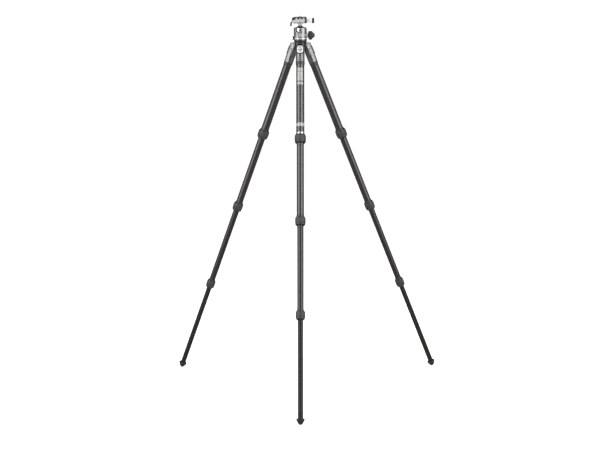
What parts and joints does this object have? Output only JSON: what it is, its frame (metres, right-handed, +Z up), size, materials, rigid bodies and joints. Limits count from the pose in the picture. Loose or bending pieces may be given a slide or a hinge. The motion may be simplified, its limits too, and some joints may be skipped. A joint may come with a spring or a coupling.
{
  "type": "photo tripod with ball head",
  "caption": "Columnless carbon photo tripod with telescoping legs, twist locks, pull-out angle stops, a weight hook, and a notched ball head with a dovetail quick-release clamp and plate.",
  "frame": {"origin": "on the ground, at the centre of the box round the whole part; the tripod's own axis stands 0.154 m towards +Y of it", "axes": "+Z up; -Y is the direction of the first leg, so the front; the clamp screw and its knob point to +X, and the plate's dovetail runs along Y"},
  "size_m": [1.0982, 0.9556, 1.4915],
  "materials": {
    "casting": "satin grey anodised",
    "satin_metal": "satin silver anodised",
    "black_metal": "semi-gloss black anodised",
    "chrome": "polished",
    "steel": "turned",
    "carbon": "clear-coated carbon weave",
    "rubber": "matt ribbed",
    "black_plastic": "matt",
    "vial": "clear, with green spirit"
  },
  "bodies": {
    "apex": {"spider": "black_metal", "platform": "black_metal", "platform_stud": "steel", "pan_base": "black_metal", "bubble_level": "vial"},
    "hook": {"weight_hook": "steel"},
    "head": {"housing": "casting", "ball_seat": "black_plastic", "collar_ring": "black_plastic"},
    "main_knob": {"main_knob": "rubber", "main_knob_shaft": "steel"},
    "friction_dial": {"friction_dial": "satin_metal"},
    "pan_knob": {"pan_knob": "black_metal"},
    "ball": {"ball": "chrome", "clamp_bolt": "steel"},
    "clamp": {"clamp_base": "satin_metal", "latch_pin": "steel"},
    "jaw": {"clamp_jaw": "black_metal"},
    "clamp_knob": {"clamp_knob": "satin_metal", "clamp_screw": "steel"},
    "latch": {"latch_lever": "casting"},
    "plate": {"quick_release_plate": "black_metal", "plate_pad": "rubber"},
    "camera_screw": {"camera_screw": "steel"},
    "leg_1": {"leg_1_shoulder": "casting", "leg_1_hip_bolt": "steel", "leg_1_tube_1": "carbon"},
    "leg_1_stop": {"leg_1_angle_stop": "satin_metal"},
    "leg_1_collar_1": {"leg_1_lock_1": "rubber"},
    "leg_1_section_2": {"leg_1_tube_2": "carbon"},
    "leg_1_collar_2": {"leg_1_lock_2": "rubber"},
    "leg_1_section_3": {"leg_1_tube_3": "carbon"},
    "leg_1_collar_3": {"leg_1_lock_3": "rubber"},
    "leg_1_section_4": {"leg_1_tube_4": "carbon", "leg_1_foot": "rubber", "leg_1_foot_stud": "steel"},
    "leg_2": {"leg_2_shoulder": "casting", "leg_2_hip_bolt": "steel", "leg_2_tube_1": "carbon"},
    "leg_2_stop": {"leg_2_angle_stop": "satin_metal"},
    "leg_2_collar_1": {"leg_2_lock_1": "rubber"},
    "leg_2_section_2": {"leg_2_tube_2": "carbon"},
    "leg_2_collar_2": {"leg_2_lock_2": "rubber"},
    "leg_2_section_3": {"leg_2_tube_3": "carbon"},
    "leg_2_collar_3": {"leg_2_lock_3": "rubber"},
    "leg_2_section_4": {"leg_2_tube_4": "carbon", "leg_2_foot": "rubber", "leg_2_foot_stud": "steel"},
    "leg_3": {"leg_3_shoulder": "casting", "leg_3_hip_bolt": "steel", "leg_3_tube_1": "carbon"},
    "leg_3_stop": {"leg_3_angle_stop": "satin_metal"},
    "leg_3_collar_1": {"leg_3_lock_1": "rubber"},
    "leg_3_section_2": {"leg_3_tube_2": "carbon"},
    "leg_3_collar_2": {"leg_3_lock_2": "rubber"},
    "leg_3_section_3": {"leg_3_tube_3": "carbon"},
    "leg_3_collar_3": {"leg_3_lock_3": "rubber"},
    "leg_3_section_4": {"leg_3_tube_4": "carbon", "leg_3_foot": "rubber", "leg_3_foot_stud": "steel"}
  },
  "joints": [
    {"name": "ball_tilt", "type": "hinge", "parent": "head", "child": "ball", "pos_m": [0, 0.15383, 1.4335], "axis": [0.9397, -0.342, 0], "range_deg": [-25, 90]},
    {"name": "base_pan", "type": "hinge", "parent": "apex", "child": "head", "pos_m": [0, 0.15383, 1.3985], "axis": [0, 0, 1], "continuous": true},
    {"name": "ball_spin", "type": "hinge", "parent": "ball", "child": "clamp", "pos_m": [0, 0.15383, 1.4335], "axis": [0, 0, 1], "continuous": true},
    {"name": "latch_press", "type": "hinge", "parent": "clamp", "child": "latch", "pos_m": [-0.0308, 0.15383, 1.472], "axis": [0, -1, 0], "range_deg": [0, 20], "stiffness_Nm_per_rad": 0.2},
    {"name": "clamp_knob_turn", "type": "hinge", "parent": "jaw", "child": "clamp_knob", "pos_m": [0, 0.15383, 1.4722], "axis": [1, 0, 0], "range_deg": [0, 720]},
    {"name": "jaw_slide", "type": "slide", "parent": "clamp", "child": "jaw", "axis": [1, 0, 0], "range_m": [0, 0.004]},
    {"name": "plate_slide", "type": "slide", "parent": "clamp", "child": "plate", "axis": [0, 1, 0], "range_m": [-0.012, 0.012]},
    {"name": "main_knob_turn", "type": "hinge", "parent": "head", "child": "main_knob", "pos_m": [0, 0.15383, 1.415], "axis": [0.9511, -0.309, 0], "range_deg": [0, 270]},
    {"name": "friction_dial_turn", "type": "hinge", "parent": "main_knob", "child": "friction_dial", "pos_m": [0, 0.15383, 1.415], "axis": [0.9511, -0.309, 0], "range_deg": [0, 270]},
    {"name": "pan_knob_turn", "type": "hinge", "parent": "head", "child": "pan_knob", "pos_m": [0, 0.15383, 1.4045], "axis": [-0.9659, -0.2588, 0], "range_deg": [0, 360]},
    {"name": "camera_screw_turn", "type": "hinge", "parent": "plate", "child": "camera_screw", "pos_m": [0, 0.15383, 1.48], "axis": [0, 0, 1], "continuous": true},
    {"name": "hook_turn", "type": "hinge", "parent": "apex", "child": "hook", "pos_m": [0, 0.15383, 1.35], "axis": [0, 0, 1], "continuous": true},
    {"name": "leg_1_hip", "type": "hinge", "parent": "apex", "child": "leg_1", "pos_m": [0, 0.12363, 1.37052], "axis": [-1, 0, 0], "range_deg": [-23.44, 56.56]},
    {"name": "leg_1_stop_pull", "type": "slide", "parent": "leg_1", "child": "leg_1_stop", "axis": [0, -0.9175, 0.3977], "range_m": [0, 0.004], "stiffness_N_per_m": 400},
    {"name": "leg_1_twist_1", "type": "hinge", "parent": "leg_1", "child": "leg_1_collar_1", "pos_m": [0, -0.02937, 1.01755], "axis": [0, -0.3977, -0.9175], "range_deg": [0, 90]},
    {"name": "leg_1_twist_2", "type": "hinge", "parent": "leg_1_section_2", "child": "leg_1_collar_2", "pos_m": [0, -0.16118, 0.71349], "axis": [0, -0.3977, -0.9175], "range_deg": [0, 90]},
    {"name": "leg_1_twist_3", "type": "hinge", "parent": "leg_1_section_3", "child": "leg_1_collar_3", "pos_m": [0, -0.30683, 0.3775], "axis": [0, -0.3977, -0.9175], "range_deg": [0, 90]},
    {"name": "leg_1_slide_2", "type": "slide", "parent": "leg_1", "child": "leg_1_section_2", "axis": [0, -0.3977, -0.9175], "range_m": [-0.287, 0]},
    {"name": "leg_1_slide_3", "type": "slide", "parent": "leg_1_section_2", "child": "leg_1_section_3", "axis": [0, -0.3977, -0.9175], "range_m": [-0.322, 0]},
    {"name": "leg_1_slide_4", "type": "slide", "parent": "leg_1_section_3", "child": "leg_1_section_4", "axis": [0, -0.3977, -0.9175], "range_m": [-0.367, 0]},
    {"name": "leg_2_hip", "type": "hinge", "parent": "apex", "child": "leg_2", "pos_m": [0.02615, 0.16893, 1.37052], "axis": [0.5, -0.866, 0], "range_deg": [-23.44, 56.56]},
    {"name": "leg_2_stop_pull", "type": "slide", "parent": "leg_2", "child": "leg_2_stop", "axis": [0.7946, 0.4588, 0.3977], "range_m": [0, 0.004], "stiffness_N_per_m": 400},
    {"name": "leg_2_twist_1", "type": "hinge", "parent": "leg_2", "child": "leg_2_collar_1", "pos_m": [0.15866, 0.24543, 1.01755], "axis": [0.3444, 0.1989, -0.9175], "range_deg": [0, 90]},
    {"name": "leg_2_twist_2", "type": "hinge", "parent": "leg_2_section_2", "child": "leg_2_collar_2", "pos_m": [0.27281, 0.31134, 0.71349], "axis": [0.3444, 0.1989, -0.9175], "range_deg": [0, 90]},
    {"name": "leg_2_twist_3", "type": "hinge", "parent": "leg_2_section_3", "child": "leg_2_collar_3", "pos_m": [0.39894, 0.38416, 0.3775], "axis": [0.3444, 0.1989, -0.9175], "range_deg": [0, 90]},
    {"name": "leg_2_slide_2", "type": "slide", "parent": "leg_2", "child": "leg_2_section_2", "axis": [0.3444, 0.1989, -0.9175], "range_m": [-0.287, 0]},
    {"name": "leg_2_slide_3", "type": "slide", "parent": "leg_2_section_2", "child": "leg_2_section_3", "axis": [0.3444, 0.1989, -0.9175], "range_m": [-0.322, 0]},
    {"name": "leg_2_slide_4", "type": "slide", "parent": "leg_2_section_3", "child": "leg_2_section_4", "axis": [0.3444, 0.1989, -0.9175], "range_m": [-0.367, 0]},
    {"name": "leg_3_hip", "type": "hinge", "parent": "apex", "child": "leg_3", "pos_m": [-0.02615, 0.16893, 1.37052], "axis": [0.5, 0.866, 0], "range_deg": [-23.44, 56.56]},
    {"name": "leg_3_stop_pull", "type": "slide", "parent": "leg_3", "child": "leg_3_stop", "axis": [-0.7946, 0.4588, 0.3977], "range_m": [0, 0.004], "stiffness_N_per_m": 400},
    {"name": "leg_3_twist_1", "type": "hinge", "parent": "leg_3", "child": "leg_3_collar_1", "pos_m": [-0.15866, 0.24543, 1.01755], "axis": [-0.3444, 0.1989, -0.9175], "range_deg": [0, 90]},
    {"name": "leg_3_twist_2", "type": "hinge", "parent": "leg_3_section_2", "child": "leg_3_collar_2", "pos_m": [-0.27281, 0.31134, 0.71349], "axis": [-0.3444, 0.1989, -0.9175], "range_deg": [0, 90]},
    {"name": "leg_3_twist_3", "type": "hinge", "parent": "leg_3_section_3", "child": "leg_3_collar_3", "pos_m": [-0.39894, 0.38416, 0.3775], "axis": [-0.3444, 0.1989, -0.9175], "range_deg": [0, 90]},
    {"name": "leg_3_slide_2", "type": "slide", "parent": "leg_3", "child": "leg_3_section_2", "axis": [-0.3444, 0.1989, -0.9175], "range_m": [-0.287, 0]},
    {"name": "leg_3_slide_3", "type": "slide", "parent": "leg_3_section_2", "child": "leg_3_section_3", "axis": [-0.3444, 0.1989, -0.9175], "range_m": [-0.322, 0]},
    {"name": "leg_3_slide_4", "type": "slide", "parent": "leg_3_section_3", "child": "leg_3_section_4", "axis": [-0.3444, 0.1989, -0.9175], "range_m": [-0.367, 0]}
  ],
  "couplings": [
    {"joint": "clamp_knob_turn", "follows": "jaw_slide", "rad_per_m": 3141.6}
  ]
}
